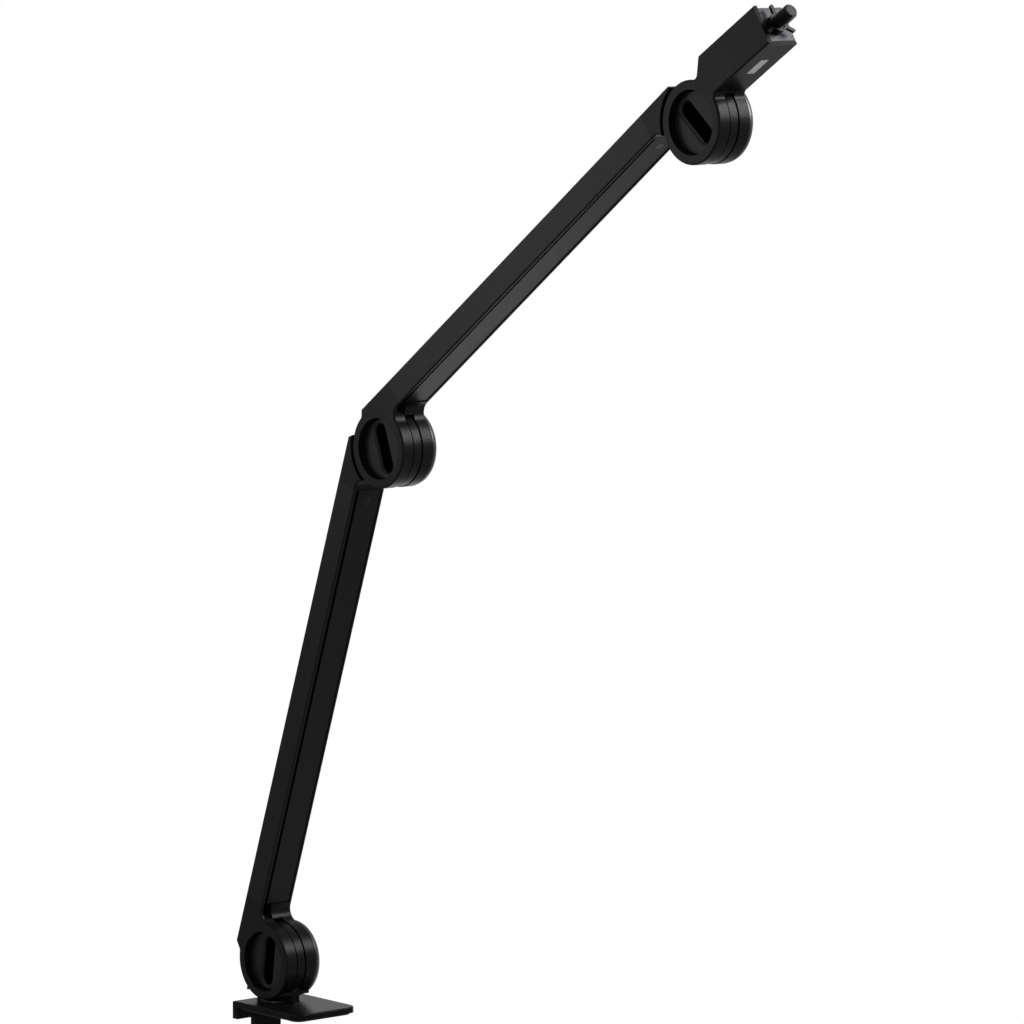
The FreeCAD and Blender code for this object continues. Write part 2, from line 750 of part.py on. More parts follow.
def hand_knob():
    """Fluted hand knob on the lower end of the clamp screw."""
    top = clamp_heights()[3]
    foot = top - hand_knob_height
    grip = post(hand_knob_radius, foot, top)
    grip = grip.makeChamfer(edge_round, [e for e in grip.Edges if e.Closed])
    flute_place = hand_knob_radius + hand_knob_flute_radius / 2
    flutes = []
    for k in range(hand_knob_lobes):
        flute = post(hand_knob_flute_radius, foot - overrun, top + overrun, flute_place)
        flute.rotate(ORIGIN, Z_AXIS, k * 360 / hand_knob_lobes)
        flutes.append(flute)
    seat_foot = foot + hand_knob_height / 2 - seat_clearance
    seat = post(clamp_screw_radius + seat_clearance, seat_foot, top + overrun)
    grip = grip.cut(flutes + [seat])
    grip.translate(X_AXIS * clamp_screw_place)
    return grip


def hinge_pieces(name, tilt, turn, hinge):
    """Knob, bolt, nut, cap, bush and friction discs of one hinge, under their node names."""
    return {
        name + "_knob": set_at(knob(turn), tilt, hinge),
        name + "_bolt": set_at(knob_bolt(turn), tilt, hinge),
        name + "_lock_nut": set_at(lock_nut(), tilt, hinge),
        name + "_cap": set_at(cap(), tilt, hinge),
        name + "_bush": set_at(bush(), tilt, hinge),
        name + "_friction_discs": set_at(friction_discs(), tilt, hinge),
    }


def arm_pieces(name, offset, reach, tilt, hinge):
    """Castings, tube, cover and screws of one arm, under their node names."""
    screws = [back_screw(offset, place, 0) for place in screw_rows(offset, reach)]
    pieces = {
        name + "_fork": arm_fork(offset, reach),
        name + "_tube": arm_tube(offset, reach),
        name + "_tongue": arm_tongue(offset, reach),
        name + "_cable_cover": arm_cover(offset, reach),
        name + "_tube_screws": Part.makeCompound(screws),
        name + "_cover_screw": cover_screw(offset, cover_screw_place(offset, reach), 0),
    }
    return {node: set_at(shape, tilt, hinge) for node, shape in pieces.items()}


def head_pieces(hinge):
    """Pieces of the head, under their node names."""
    pieces = {
        "head_body": head_body(),
        "head_end_plate": end_plate(),
        "head_inlay": inlay(0),
        "mic_stud": mic_stud(),
        "stud_lock_nut": star_nut(),
    }
    return {node: set_at(shape, head_tilt, hinge) for node, shape in pieces.items()}


def base_pieces():
    """Pieces of the clamp, the swivel and the pedestal, under their node names."""
    return {
        "clamp_frame": clamp_frame(),
        "jaw_pad": jaw_pad(),
        "clamp_nut": clamp_nut(),
        "clamp_screw": clamp_screw(),
        "pressure_pad": pressure_pad(),
        "pressure_pad_rubber": pad_rubber(),
        "clamp_hand_knob": hand_knob(),
        "swivel_washer": swivel_washer(),
        "swivel_screw": swivel_screw(),
        "pedestal": pedestal(),
    }


def main():
    """Builds every piece in its place and writes one file for each."""
    shoulder = Z_AXIS * shoulder_height
    elbow = shoulder + along(lower_tilt, lower_reach)
    wrist = elbow + along(upper_tilt, upper_reach)
    pieces = base_pieces()
    pieces.update(hinge_pieces("shoulder", lower_tilt, shoulder_slot_turn, shoulder))
    pieces.update(arm_pieces("lower_arm", lower_axis_offset, lower_reach, lower_tilt, shoulder))
    pieces.update(hinge_pieces("elbow", upper_tilt, elbow_slot_turn, elbow))
    pieces.update(arm_pieces("upper_arm", upper_axis_offset, upper_reach, upper_tilt, elbow))
    pieces.update(hinge_pieces("wrist", head_tilt, wrist_slot_turn, wrist))
    pieces.update(head_pieces(wrist))
    os.makedirs("parts", exist_ok=True)
    for node, shape in pieces.items():
        shape.exportStep("parts/" + node + ".step")


main()
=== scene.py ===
import json
import logging
import math
from dataclasses import dataclass, field
from enum import Enum
from typing import Any, Optional, Union

import bmesh
import bpy
from mathutils import Matrix, Vector


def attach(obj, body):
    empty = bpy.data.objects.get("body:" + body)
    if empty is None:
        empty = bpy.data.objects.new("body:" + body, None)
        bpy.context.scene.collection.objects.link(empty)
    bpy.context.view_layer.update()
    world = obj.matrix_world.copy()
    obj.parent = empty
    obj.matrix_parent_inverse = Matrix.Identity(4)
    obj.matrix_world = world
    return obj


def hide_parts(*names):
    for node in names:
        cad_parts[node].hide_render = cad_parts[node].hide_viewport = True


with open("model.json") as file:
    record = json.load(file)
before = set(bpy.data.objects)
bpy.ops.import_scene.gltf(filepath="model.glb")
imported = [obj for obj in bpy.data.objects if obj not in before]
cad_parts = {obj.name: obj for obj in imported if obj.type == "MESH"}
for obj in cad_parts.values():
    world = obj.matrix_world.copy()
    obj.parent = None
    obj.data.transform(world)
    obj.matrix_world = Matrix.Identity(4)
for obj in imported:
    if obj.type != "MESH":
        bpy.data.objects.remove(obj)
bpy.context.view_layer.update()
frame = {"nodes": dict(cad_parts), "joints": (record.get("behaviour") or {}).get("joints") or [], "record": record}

LOG = logging.getLogger("boom_arm")
MM = 0.001
SHARP_ANGLE = math.radians(32)
WHOLE_TURN = math.tau
RIGHT_ANGLE = 90.0
HINGES = ("shoulder", "elbow", "wrist")
FRAME_PIXELS = 1024
SENSOR_MM = 36.0
MERGE_MM = 0.001
MICRON_PLACES = 3
ROUND_STEPS = 36
SOCKET_SIDES = 6
BUMP_STRENGTH = 0.6
MOULDED_DETAIL = 6.0
LINED_DETAIL = 2.0
CLOUD_DETAIL = 3.0
# Black painted into the knobs' slots, as the shade deep in them.
SLOT_SHADE_BLACK = "#010101"
# The mix node has its colour sockets behind those for numbers and vectors, under the same names.
MIX_SHARE, MIX_FIRST, MIX_SECOND, MIX_COLOUR = 0, 6, 7, 2


def linear(hex_colour: str) -> tuple[float, float, float, float]:
    """Turns an sRGB hex colour into a linear one.

    Args:
        hex_colour: Six hex digits with a leading hash sign.

    Returns:
        Linear red, green, blue and an alpha of 1.
    """
    parts = [int(hex_colour[i:i + 2], 16) / 255 for i in (1, 3, 5)]
    flat = [p / 12.92 if p <= 0.04045 else ((p + 0.055) / 1.055) ** 2.4 for p in parts]
    return flat[0], flat[1], flat[2], 1.0


def per_metre(size_mm: float) -> float:
    """Scale of a pattern on coordinates in metres, from the size of its features in millimetres."""
    return 1.0 / (size_mm * MM)


def put(tree: bpy.types.NodeTree, kind: str, inputs: Optional[dict[Union[int, str], Any]] = None,
        **settings: Any) -> bpy.types.Node:
    """Adds a node with its settings and links.

    Args:
        tree: Node tree that gets the node.
        kind: Blender's name of the node type.
        inputs: Input sockets by name or index, each with a value or with a socket to link from.
        settings: Properties of the node.

    Returns:
        The new node.
    """
    node = tree.nodes.new(kind)
    for name, value in settings.items():
        setattr(node, name, value)
    for name, value in (inputs or {}).items():
        if isinstance(value, bpy.types.NodeSocket):
            tree.links.new(value, node.inputs[name])
        else:
            node.inputs[name].default_value = value
    return node


class Grain(Enum):
    """Ways in which a surface was worked."""

    SPRAYED = "sprayed"
    MOULDED = "moulded"
    DRAWN = "drawn"
    TURNED = "turned"


@dataclass(frozen=True)
class Finish:
    """One real material with its surface.

    Attributes:
        name: Name of the material.
        base: Colour of the surface, in sRGB hex.
        shade: Colour that it slowly wanders to, in sRGB hex.
        roughness: Roughness at the bottom and at the top of the relief.
        specular: Specular level.
        grain: How the surface was worked.
        grain_mm: Size of the grain.
        relief_mm: Height of the grain.
        cloud_mm: Size of the clouds in the colour.
        metallic: 1 for bare metal.
        tilt: Lean of a drawn piece from upright, in radians.
        stretch: How many times longer than wide the lines of a drawn piece are.
        ior: Index of refraction.
        shaded_slot_depths: Depths along Y between which a slot is painted black as shade and loses its shine, in
            millimetres.
    """

    name: str
    base: str
    shade: str
    roughness: tuple[float, float]
    specular: float
    grain: Grain
    grain_mm: float
    relief_mm: float
    cloud_mm: float
    metallic: float = 0.0
    tilt: float = 0.0
    stretch: float = 30.0
    ior: float = 1.5
    shaded_slot_depths: Optional[tuple[float, float]] = None

    def coordinates(self, tree: bpy.types.NodeTree) -> bpy.types.NodeSocket:
        """Object coordinates, drawn out along the piece where the surface has a direction.

        Args:
            tree: Node tree of the material.

        Returns:
            The vector socket that the patterns read.
        """
        place = put(tree, "ShaderNodeTexCoord").outputs["Object"]
        if self.grain is not Grain.DRAWN:
            return place
        turned = put(tree, "ShaderNodeMapping", {"Vector": place, "Rotation": (0.0, -self.tilt, 0.0)})
        drawn = put(tree, "ShaderNodeMapping", {
            "Vector": turned.outputs[0], "Scale": (1.0, 1.0, 1 / self.stretch)})
        return drawn.outputs[0]

    def relief(self, tree: bpy.types.NodeTree, place: bpy.types.NodeSocket) -> bpy.types.NodeSocket:
        """Height pattern of the surface.

        Args:
            tree: Node tree of the material.
            place: Coordinates that the pattern reads.

        Returns:
            A socket with heights between 0 and 1.
        """
        scale = per_metre(self.grain_mm)
        if self.grain is Grain.SPRAYED:
            cells = put(tree, "ShaderNodeTexVoronoi", {"Vector": place, "Scale": scale}, feature="SMOOTH_F1")
            return cells.outputs["Distance"]
        detail = MOULDED_DETAIL if self.grain is Grain.MOULDED else LINED_DETAIL
        noise = put(tree, "ShaderNodeTexNoise", {"Vector": place, "Scale": scale, "Detail": detail})
        return noise.outputs["Fac"]

    def paint_slot_shade(self, tree: bpy.types.NodeTree, place: bpy.types.NodeSocket,
             colour: bpy.types.NodeSocket) -> tuple[bpy.types.NodeSocket, bpy.types.NodeSocket]:
        """Colour and shine of a surface with painted shade: a slot too deep for light to come back is painted
        black and loses its shine.

        Args:
            tree: Node tree of the material.
            place: Coordinates, with the depth along Y.
            colour: Colour of the open surface.

        Returns:
            The sockets of the colour and of the specular level.
        """
        depth = put(tree, "ShaderNodeSeparateXYZ", {"Vector": place}).outputs["Y"]
        shade_share = put(tree, "ShaderNodeMapRange", {
            "Value": depth, "From Min": self.shaded_slot_depths[0] * MM, "From Max": self.shaded_slot_depths[1] * MM},
            interpolation_type="SMOOTHSTEP").outputs[0]
        # Painted shade: past the given depth the slot is painted black.
        dark = put(tree, "ShaderNodeMix", {
            MIX_SHARE: shade_share, MIX_FIRST: colour, MIX_SECOND: linear(SLOT_SHADE_BLACK)}, data_type="RGBA")
        # Painted shade also takes the slot's shine away.
        shine = put(tree, "ShaderNodeMapRange", {"Value": shade_share, "To Min": self.specular, "To Max": 0.0})
        return dark.outputs[MIX_COLOUR], shine.outputs[0]

    def build(self) -> bpy.types.Material:
        """Material of this finish, made from nodes.

        Returns:
            The new material.
        """
        material = bpy.data.materials.new(self.name)
        material.use_nodes = True
        tree = material.node_tree
        tree.nodes.clear()
        place = self.coordinates(tree)
        height = self.relief(tree, place)
        cloud = put(tree, "ShaderNodeTexNoise", {
            "Vector": place, "Scale": per_metre(self.cloud_mm), "Detail": CLOUD_DETAIL}).outputs["Fac"]
        colour = put(tree, "ShaderNodeMix", {
            MIX_SHARE: cloud, MIX_FIRST: linear(self.base), MIX_SECOND: linear(self.shade)},
            data_type="RGBA").outputs[MIX_COLOUR]
        rough = put(tree, "ShaderNodeMapRange", {
            "Value": height, "To Min": self.roughness[0], "To Max": self.roughness[1]}).outputs[0]
        shine: Any = self.specular
        # Painted shade in a slot, where the finish has one.
        if self.shaded_slot_depths:
            colour, shine = self.paint_slot_shade(tree, place, colour)
        bump = put(tree, "ShaderNodeBump", {
            "Height": height, "Distance": self.relief_mm * MM, "Strength": BUMP_STRENGTH})
        shader = put(tree, "ShaderNodeBsdfPrincipled", {
            "Base Color": colour, "Roughness": rough, "Metallic": self.metallic,
            "IOR": self.ior, "Specular IOR Level": shine, "Normal": bump.outputs[0]})
        put(tree, "ShaderNodeOutputMaterial", {"Surface": shader.outputs[0]})
        return material


# The real grain of most of these surfaces is finer than half a millimetre and wouldn't show, so it is drawn
# at 0.8 mm or more.

# Polyester powder baked onto extruded aluminium: an even satin black with a fine pebbled skin.
POWDER_COAT = Finish(
    "powder_coated_extrusion", base="#070708", shade="#0b0b0c", roughness=(0.28, 0.38), specular=0.045,
    grain=Grain.SPRAYED, grain_mm=1.1, relief_mm=0.04, cloud_mm=40.0)
# The same powder over die-cast aluminium: a shade deeper, with coarser pebbles.
CAST_COAT = Finish(
    "powder_coated_casting", base="#060607", shade="#0a0a0b", roughness=(0.28, 0.39), specular=0.034,
    grain=Grain.SPRAYED, grain_mm=1.3, relief_mm=0.05, cloud_mm=32.0)
# Wet paint on a pressed steel clamp: smoother than the powder, with a soft orange peel.
CLAMP_PAINT = Finish(
    "painted_pressed_steel", base="#050506", shade="#080809", roughness=(0.2, 0.28), specular=0.02,
    grain=Grain.SPRAYED, grain_mm=2.4, relief_mm=0.01, cloud_mm=30.0)
# Glass-filled nylon from a spark-eroded mould: a dry matte black; the shade deep in its slot is painted black,
# without shine.
# Such a skin mirrors very little, so the index is lower than that of plain nylon.
KNOB_NYLON = Finish(
    "moulded_black_nylon", base="#070708", shade="#0b0b0c", roughness=(0.34, 0.48), specular=0.5,
    grain=Grain.MOULDED, grain_mm=0.9, relief_mm=0.04, cloud_mm=18.0, ior=1.15, shaded_slot_depths=(-7.3, -6.1))
# The same nylon in the hand knob of the clamp.
GRIP_NYLON = Finish(
    "moulded_grip_nylon", base="#0a0a0b", shade="#0f0f10", roughness=(0.38, 0.54), specular=0.1,
    grain=Grain.MOULDED, grain_mm=0.9, relief_mm=0.04, cloud_mm=18.0)
# ABS from a vapour-blasted mould: a closed satin skin with a broad soft highlight.
CAP_ABS = Finish(
    "moulded_satin_abs", base="#0b0b0d", shade="#111214", roughness=(0.28, 0.38), specular=0.2,
    grain=Grain.MOULDED, grain_mm=1.4, relief_mm=0.02, cloud_mm=22.0)
# Steel blackened in a hot oxide bath: dark grey metal with a brown cast in patches.
OXIDE_STEEL = Finish(
    "black_oxide_steel", base="#17171a", shade="#1f1c1a", roughness=(0.32, 0.5), specular=0.5,
    grain=Grain.MOULDED, grain_mm=1.0, relief_mm=0.02, cloud_mm=6.0, metallic=1.0)
# Bright zinc over steel, as bought fasteners have it: cool grey with faint clouds.
ZINC_STEEL = Finish(
    "zinc_plated_steel", base="#a3a7ab", shade="#8f959c", roughness=(0.26, 0.42), specular=0.5,
    grain=Grain.MOULDED, grain_mm=1.2, relief_mm=0.02, cloud_mm=9.0, metallic=1.0)
# Aluminium plate, tumbled to a pale satin that scatters light over the whole face: the inlay of the head.
TUMBLED_PLATE = Finish(
    "tumbled_aluminium_plate", base="#8a8a8d", shade="#7c7c7f", roughness=(0.36, 0.55), specular=0.5,
    grain=Grain.MOULDED, grain_mm=0.8, relief_mm=0.02, cloud_mm=12.0, metallic=1.0)
# The same plate dyed dark grey: it turns pale only where it mirrors a lamp, as the end of the head does.
DYED_PLATE = Finish(
    "dyed_aluminium_plate", base="#2f2f31", shade="#272729", roughness=(0.36, 0.55), specular=0.5,
    grain=Grain.MOULDED, grain_mm=0.8, relief_mm=0.02, cloud_mm=12.0, metallic=1.0)
# Brass bar, turned: a warm shine that the tool marks break up.
TURNED_BRASS = Finish(
    "turned_brass", base="#b08d45", shade="#9c7a38", roughness=(0.25, 0.4), specular=0.5,
    grain=Grain.TURNED, grain_mm=0.8, relief_mm=0.02, cloud_mm=8.0, metallic=1.0)
# Black acetal, turned: a waxy black, a little paler than the paint.
ACETAL = Finish(
    "turned_black_acetal", base="#121213", shade="#18181a", roughness=(0.34, 0.46), specular=0.35,
    grain=Grain.TURNED, grain_mm=0.8, relief_mm=0.02, cloud_mm=10.0)
# Pressed friction fibre: a dull, mottled brown-grey.
FRICTION_FIBRE = Finish(
    "pressed_friction_fibre", base="#2b2723", shade="#3a342e", roughness=(0.7, 0.85), specular=0.2,
    grain=Grain.MOULDED, grain_mm=0.9, relief_mm=0.05, cloud_mm=4.0)
# Moulded rubber: black with a grey bloom and a dull, soft surface.
PAD_RUBBER = Finish(
    "moulded_pad_rubber", base="#131313", shade="#1c1c1b", roughness=(0.66, 0.86), specular=0.2,
    grain=Grain.MOULDED, grain_mm=1.3, relief_mm=0.05, cloud_mm=14.0)


def cover_finish(arm: str, tilt: float) -> Finish:
    """Finish of an extruded cover strip, with fine die lines along its arm.

    Args:
        arm: Name of the arm.
        tilt: Angle of the arm from upright, in radians.

    Returns:
        The finish.
    """
    return Finish(
        "extruded_black_pvc_" + arm, base="#070707", shade="#0a0a0b", roughness=(0.3, 0.42), specular=0.045,
        grain=Grain.DRAWN, grain_mm=1.2, relief_mm=0.03, cloud_mm=60.0, tilt=tilt)


class Workshop:
    """Makes materials once and turns bmeshes into pieces."""

    def __init__(self) -> None:
        """Starts with no materials."""
        self.made: dict[str, bpy.types.Material] = {}

    def material(self, finish: Finish) -> bpy.types.Material:
        """Material of a finish, built the first time that it is asked for.

        Args:
            finish: The finish.

        Returns:
            Its material.
        """
        if finish.name not in self.made:
            self.made[finish.name] = finish.build()
        return self.made[finish.name]

    def dress(self, node: str, finish: Finish) -> None:
        """Gives a CAD node its finish.

        Args:
            node: Name of the node.
            finish: Finish that it gets.
        """
        mesh = frame["nodes"][node].data
        mesh.materials.clear()
        mesh.materials.append(self.material(finish))
        LOG.info("dressed %s in %s", node, finish.name)

    def piece(self, name: str, form: bmesh.types.BMesh, place: Matrix, finish: Finish) -> bpy.types.Object:
        """Turns a bmesh into a piece with its place in its mesh.

        Args:
            name: Name of the piece.
            form: Its shape, in millimetres about its own origin.
            place: Where the shape goes, in metres.
            finish: Finish that it gets.

        Returns:
            The new object.
        """
        bmesh.ops.remove_doubles(form, verts=form.verts, dist=MERGE_MM)
        bmesh.ops.transform(form, matrix=place @ Matrix.Scale(MM, 4), verts=form.verts)
        bmesh.ops.recalc_face_normals(form, faces=form.faces)
        mesh = bpy.data.meshes.new(name)
        form.to_mesh(mesh)
        form.free()
        mesh.shade_smooth()
        mesh.set_sharp_from_angle(angle=SHARP_ANGLE)
        mesh.materials.append(self.material(finish))
        made = bpy.data.objects.new(name, mesh)
        bpy.context.scene.collection.objects.link(made)
        LOG.info("made %s with %d faces", name, len(mesh.polygons))
        return made


def lathe(profile: list[tuple[float, float]]) -> bmesh.types.BMesh:
    """Shape turned about Z from an open profile.

    Args:
        profile: Radius and height of each point, in millimetres, from axis to axis.

    Returns:
        The shape.
    """
    form = bmesh.new()
    points = [form.verts.new((radius, 0.0, height)) for radius, height in profile]
    edges = [form.edges.new(pair) for pair in zip(points[:-1], points[1:])]
    bmesh.ops.spin(form, geom=points + edges, cent=(0, 0, 0), axis=(0, 0, 1), angle=WHOLE_TURN,
                   steps=ROUND_STEPS, use_merge=True)
    bmesh.ops.remove_doubles(form, verts=form.verts, dist=MERGE_MM)
    return form


@dataclass(frozen=True)
class Thread:
    """Helical thread about Z, in millimetres.

    Attributes:
        crest: Radius of the crest.
        root: Radius of the root.
        pitch: Rise of one turn.
        low: Height of the lower end.
        high: Height of the upper end.
        crest_share: Share of the pitch that the flat crest takes.
        root_share: Share of the pitch that the flat root takes.
        spare_turns: Turns wound below the lower end and cut off again.
    """

    crest: float
    root: float
    pitch: float
    low: float
    high: float
    crest_share: float = 0.2
    root_share: float = 0.25
    spare_turns: int = 2

    def profile(self) -> list[tuple[float, float]]:
        """Section of one turn.

        Returns:
            Radius and height of its points, from root to root.
        """
        slope = (1 - self.crest_share - self.root_share) / 2
        shares = (0.0, slope, slope + self.crest_share, 2 * slope + self.crest_share, 1.0)
        radii = (self.root, self.crest, self.crest, self.root, self.root)
        return [(r, s * self.pitch) for r, s in zip(radii, shares)]

    def build(self) -> bmesh.types.BMesh:
        """Threaded rod between its two ends, cut from a longer one and closed with flat faces.

        Returns:
            The shape.
        """
        form = bmesh.new()
        turns = math.ceil((self.high - self.low) / self.pitch) + self.spare_turns + 1
        start = self.low - self.spare_turns * self.pitch
        points = [form.verts.new((radius, 0.0, start + height)) for radius, height in self.profile()]
        edges = [form.edges.new(pair) for pair in zip(points[:-1], points[1:])]
        bmesh.ops.spin(form, geom=points + edges, cent=(0, 0, 0), axis=(0, 0, 1), angle=WHOLE_TURN * turns,
                       dvec=(0, 0, self.pitch / ROUND_STEPS), steps=ROUND_STEPS * turns)
        bmesh.ops.remove_doubles(form, verts=form.verts, dist=MERGE_MM)
        for height, side in ((self.low, -1), (self.high, 1)):
            cut = bmesh.ops.bisect_plane(form, geom=form.verts[:] + form.edges[:] + form.faces[:],
                                         plane_co=(0, 0, height), plane_no=(0, 0, side), clear_outer=True)
            rim = [e for e in cut["geom_cut"] if isinstance(e, bmesh.types.BMEdge)]
            bmesh.ops.edgenet_fill(form, edges=rim)
        return form


def join(first: bmesh.types.BMesh, second: bmesh.types.BMesh, shift: Matrix = Matrix.Identity(4)) -> None:
    """Adds a second shape to a first one and frees it.

    Args:
        first: Shape that grows.
        second: Shape that is added.
        shift: Where the second shape goes.
    """
    bmesh.ops.transform(second, matrix=shift, verts=second.verts)
    mesh = bpy.data.meshes.new("joined")
    second.to_mesh(mesh)
    second.free()
    first.from_mesh(mesh)
    bpy.data.meshes.remove(mesh)


def joint_place(name: str) -> Vector:
    """Place of a joint, in metres."""
    return Vector(next(j["pos_m"] for j in frame["joints"] if j["name"] == name))


@dataclass(frozen=True)
class Limb:
    """Frame of an arm or of the head: the hinge that it hangs from and its lean."""

    hinge: Vector
    tilt: float

    @property
    def place(self) -> Matrix:
        """Matrix from the limb's own frame, Z along it and X to its underside."""
        return Matrix.Translation(self.hinge) @ Matrix.Rotation(self.tilt, 4, "Y")

    def at(self, x: float, y: float, z: float) -> Matrix:
        """Matrix to a point of the limb, given in millimetres."""
        return self.place @ Matrix.Translation(Vector((x, y, z)) * MM)


@dataclass(frozen=True)
class SocketScrew:
    """Countersunk screw with a hexagon socket, in millimetres. Its shares are of the head's radius."""

    head_radius: float
    shank_radius: float
    length: float
    cone_share: float = 0.55
    socket_share: float = 0.36
    socket_depth: float = 1.3
    lip: float = 0.15

    def build(self) -> bmesh.types.BMesh:
        """Screw that stands on Z with its head's face at the origin, and runs down.

        Returns:
            The shape.
        """
        cone = self.head_radius * self.cone_share
        form = lathe([(self.head_radius, -self.lip), (self.head_radius - self.lip, 0.0)])
        body = lathe([(self.head_radius, -self.lip), (self.shank_radius, -cone),
                      (self.shank_radius, -self.length), (0.0, -self.length)])
        join(form, body)
        socket = bmesh.ops.create_circle(form, segments=SOCKET_SIDES,
                                         radius=self.head_radius * self.socket_share)
        walls = list({e for v in socket["verts"] for e in v.link_edges})
        floor = bmesh.ops.extrude_edge_only(form, edges=walls)["geom"]
        deep = [g for g in floor if isinstance(g, bmesh.types.BMVert)]
        bmesh.ops.translate(form, verts=deep, vec=(0, 0, -self.socket_depth))
        bmesh.ops.contextual_create(form, geom=[g for g in floor if isinstance(g, bmesh.types.BMEdge)])
        bmesh.ops.remove_doubles(form, verts=form.verts, dist=MERGE_MM)
        # Known fault: this bridge from socket to rim comes out crossed, and its faces fold over the socket.
        top = [e for e in form.edges if e.is_boundary]
        bmesh.ops.bridge_loops(form, edges=top)
        return form


@dataclass
class Arm:
    """Skin and screws of one arm.

    Lengths are in millimetres, and places of hinges in metres.

    Attributes:
        name: Name of the arm's body.
        start: Place of its lower hinge.
        end: Place of its upper hinge.
        offset: Distance from the line between the hinges to the middle of the tube.
        depth: Height of the tube's section.
        disc_radius: Radius of the hinge discs.
        web_fillet: Radius of the fillet between a disc and the tube's underside.
        seam_margin: Distance from that fillet to the end of the tube.
        plug_length: Length of a casting's plug in the tube.
        cover_recess: Depth of the cover strip under the tube's face.
        cover_middle: Place of the cover strip across the tube.
        cover_screw_inset: Distance from the tube's end to the cover's screw.
        tube_fastener: Screw through the tube into a plug.
        cover_fastener: Screw through the cover strip.
    """

    name: str
    start: Vector
    end: Vector
    offset: float
    depth: float = 18.0
    disc_radius: float = 26.3
    web_fillet: float = 8.0
    seam_margin: float = 2.0
    plug_length: float = 24.0
    cover_recess: float = 0.6
    cover_middle: float = 1.35
    cover_screw_inset: float = 10.0
    tube_fastener: SocketScrew = SocketScrew(head_radius=3.8, shank_radius=2.0, length=9.0)
    cover_fastener: SocketScrew = SocketScrew(head_radius=2.8, shank_radius=1.5, length=8.0)

    @property
    def limb(self) -> Limb:
        """Frame of the arm between its two hinges."""
        run = self.end - self.start
        return Limb(self.start, math.atan2(run.x, run.z))

    @property
    def reach(self) -> float:
        """Distance between the two hinges, in millimetres."""
        return round((self.end - self.start).length / MM, MICRON_PLACES)

    @property
    def seam(self) -> float:
        """Distance from a hinge to the end of the tube, clear of the fillet there."""
        aside = self.web_fillet - self.offset + self.depth / 2
        fillet = math.sqrt((self.disc_radius + self.web_fillet) ** 2 - aside ** 2)
        return round(fillet + self.seam_margin, MICRON_PLACES)

    def dress(self, shop: Workshop) -> None:
        """Gives castings, tube and cover their finishes.

        Args:
            shop: Workshop that makes the pieces and materials.
        """
        for part, finish in (("fork", CAST_COAT), ("tube", POWDER_COAT), ("tongue", CAST_COAT)):
            shop.dress("%s_%s" % (self.name, part), finish)
        shop.dress(self.name + "_cable_cover", cover_finish(self.name, self.limb.tilt))

    def tube_screws(self, shop: Workshop) -> None:
        """Pair of screws that hold the castings in the tube.

        Args:
            shop: Workshop that makes the pieces and materials.
        """
        inward = Matrix.Rotation(math.radians(-RIGHT_ANGLE), 4, "Y")
        step = self.seam + self.plug_length / 2
        pair = bmesh.new()
        for row in (step, self.reach - step):
            shift = Matrix.Translation((-self.offset - self.depth / 2, 0.0, row))
            join(pair, self.tube_fastener.build(), shift @ inward)
        made = shop.piece(self.name + "_socket_screws", pair, self.limb.place, OXIDE_STEEL)
        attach(made, self.name)
        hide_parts(self.name + "_tube_screws")

    def cover_screw(self, shop: Workshop) -> None:
        """Screw that holds the cover strip at its upper end.

        Args:
            shop: Workshop that makes the pieces and materials.
        """
        inward = Matrix.Rotation(math.radians(RIGHT_ANGLE), 4, "Y")
        row = self.reach - self.seam - self.cover_screw_inset
        face = -self.offset + self.depth / 2 - self.cover_recess
        place = self.limb.at(face, self.cover_middle, row) @ inward
        made = shop.piece(self.name + "_strip_screw", self.cover_fastener.build(), place, OXIDE_STEEL)
        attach(made, self.name)
        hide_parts(self.name + "_cover_screw")

    def build(self, shop: Workshop) -> None:
        """Makes and dresses the arm.

        Args:
            shop: Workshop that makes the pieces and materials.
        """
        self.dress(shop)
        self.tube_screws(shop)
        self.cover_screw(shop)


@dataclass
class Hinge:
    """Knob, cap and inner pieces of one hinge."""

    name: str

    def build(self, shop: Workshop) -> None:
        """Gives the pieces of the hinge their finishes.

        Args:
            shop: Workshop that makes the pieces and materials.
        """
        shop.dress(self.name + "_knob", KNOB_NYLON)
        shop.dress(self.name + "_cap", CAP_ABS)
        shop.dress(self.name + "_bolt", ZINC_STEEL)
        shop.dress(self.name + "_lock_nut", ZINC_STEEL)
        shop.dress(self.name + "_bush", TURNED_BRASS)
        shop.dress(self.name + "_friction_discs", FRICTION_FIBRE)


